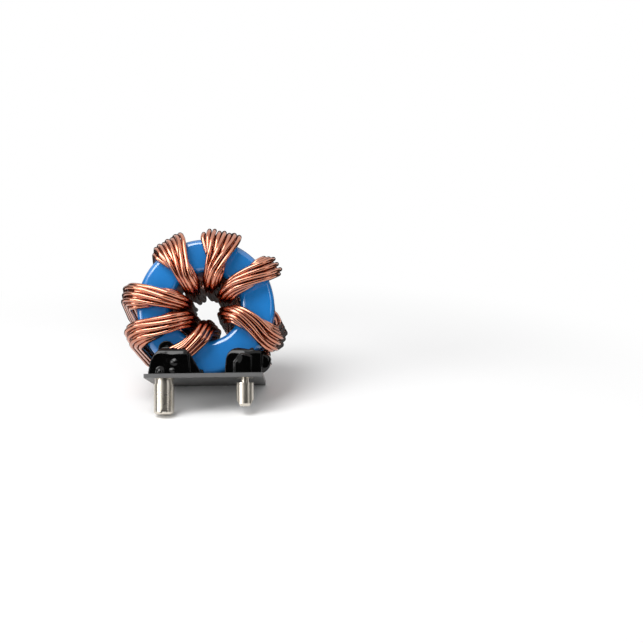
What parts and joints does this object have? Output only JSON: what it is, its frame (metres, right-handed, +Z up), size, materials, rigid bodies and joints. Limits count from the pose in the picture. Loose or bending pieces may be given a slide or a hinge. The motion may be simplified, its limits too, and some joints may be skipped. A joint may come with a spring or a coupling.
{
  "type": "toroidal power inductor",
  "caption": "Ring-core choke wound with a bundle of enamelled copper strands, on a thin base plate with tinned pins for a circuit board.",
  "frame": {"origin": "middle of the bounding box, on the surface that the loose part rests on", "axes": "+Z up from that surface, -Y towards the pins and the front of the winding, +X to the right seen from the front; the base leans back so that the left pin's tip and the base's rear edge touch the surface"},
  "size_m": [0.0335, 0.0313, 0.0349],
  "materials": {
    "core_coating": "glossy blue epoxy coat",
    "copper": "clear enamelled copper",
    "laminate": "dark laminate",
    "tin": "bright solder tin",
    "adhesive": "glossy black adhesive"
  },
  "bodies": {
    "root": {"core": "core_coating", "base_plate": "laminate", "tinned_end_left": "tin", "tinned_end_right": "tin", "adhesive_left": "adhesive", "adhesive_right": "adhesive", "strand_01": "copper", "strand_02": "copper", "strand_03": "copper", "strand_04": "copper", "strand_05": "copper", "strand_06": "copper", "strand_07": "copper", "strand_08": "copper", "strand_09": "copper", "strand_10": "copper", "strand_11": "copper", "strand_12": "copper", "strand_13": "copper", "strand_14": "copper"}
  },
  "joints": []
}
